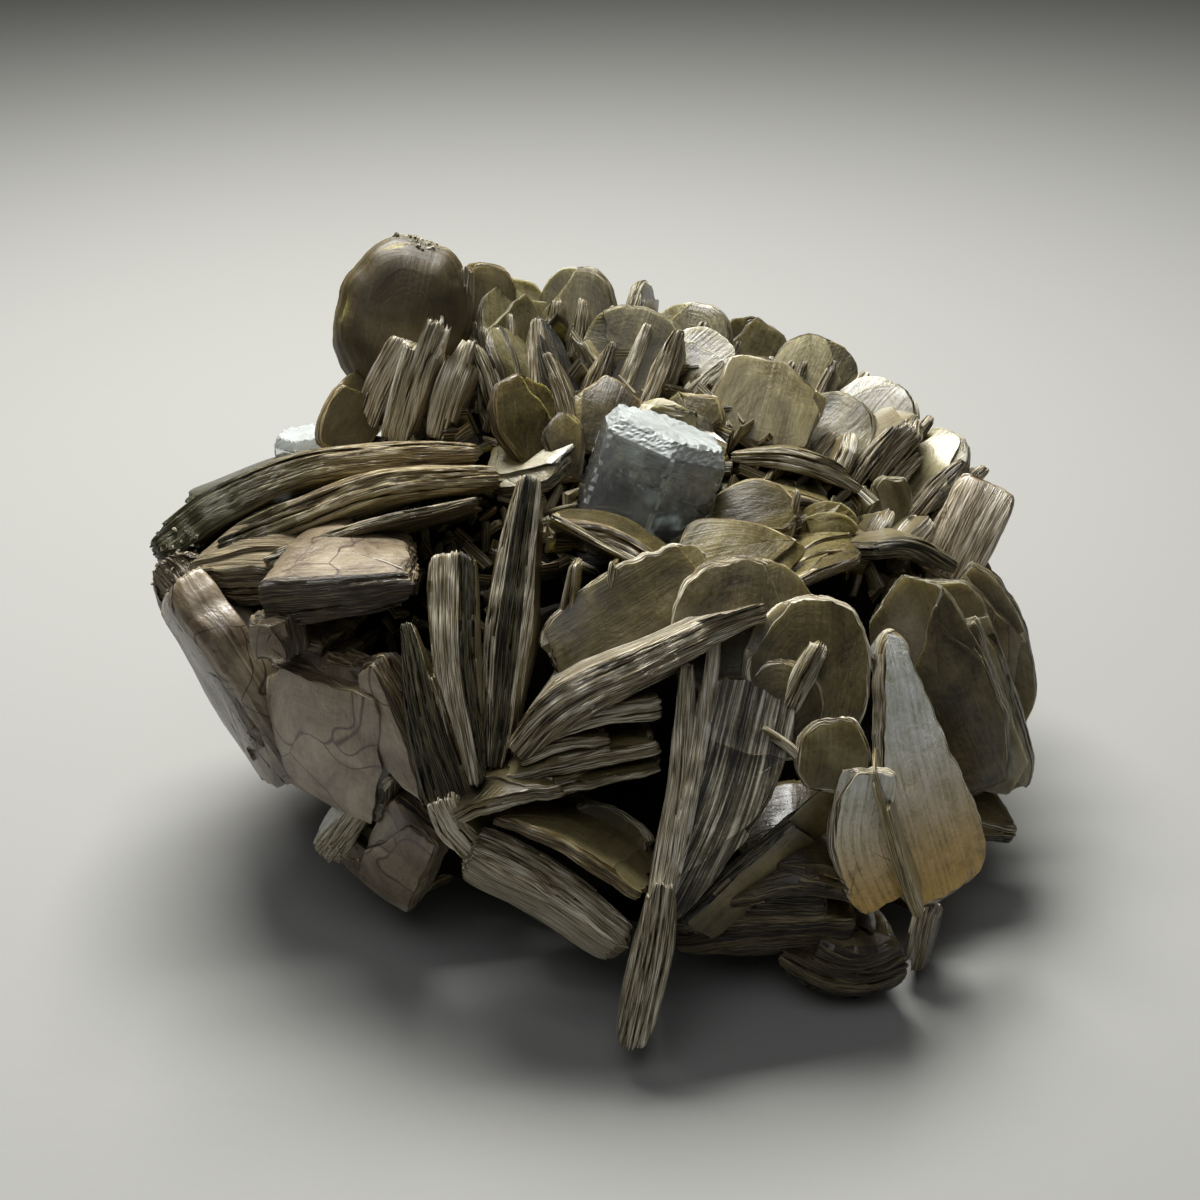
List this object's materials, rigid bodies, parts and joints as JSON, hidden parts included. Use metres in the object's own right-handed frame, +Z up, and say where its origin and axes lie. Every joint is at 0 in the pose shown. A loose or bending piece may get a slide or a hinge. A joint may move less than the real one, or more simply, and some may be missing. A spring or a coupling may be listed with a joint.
{
  "type": "mica crystal",
  "caption": "Cluster of brown muscovite mica books, with a pale aquamarine crystal standing in its top and a flat underside to rest on.",
  "frame": {"origin": "point on the flat underside, under the middle of the cluster", "axes": "+Z up, away from the underside; +X to the right and -Y to the front, where the fan of upright books and the thin stem are"},
  "size_m": [0.0947, 0.0813, 0.0581],
  "materials": {
    "mica": "pearly faces and silky, striated edges",
    "beryl": "clear and glossy, with a frosted top"
  },
  "bodies": {
    "root": {"mica_cluster": "mica", "aquamarine": "beryl", "small_beryl": "beryl"}
  },
  "joints": []
}
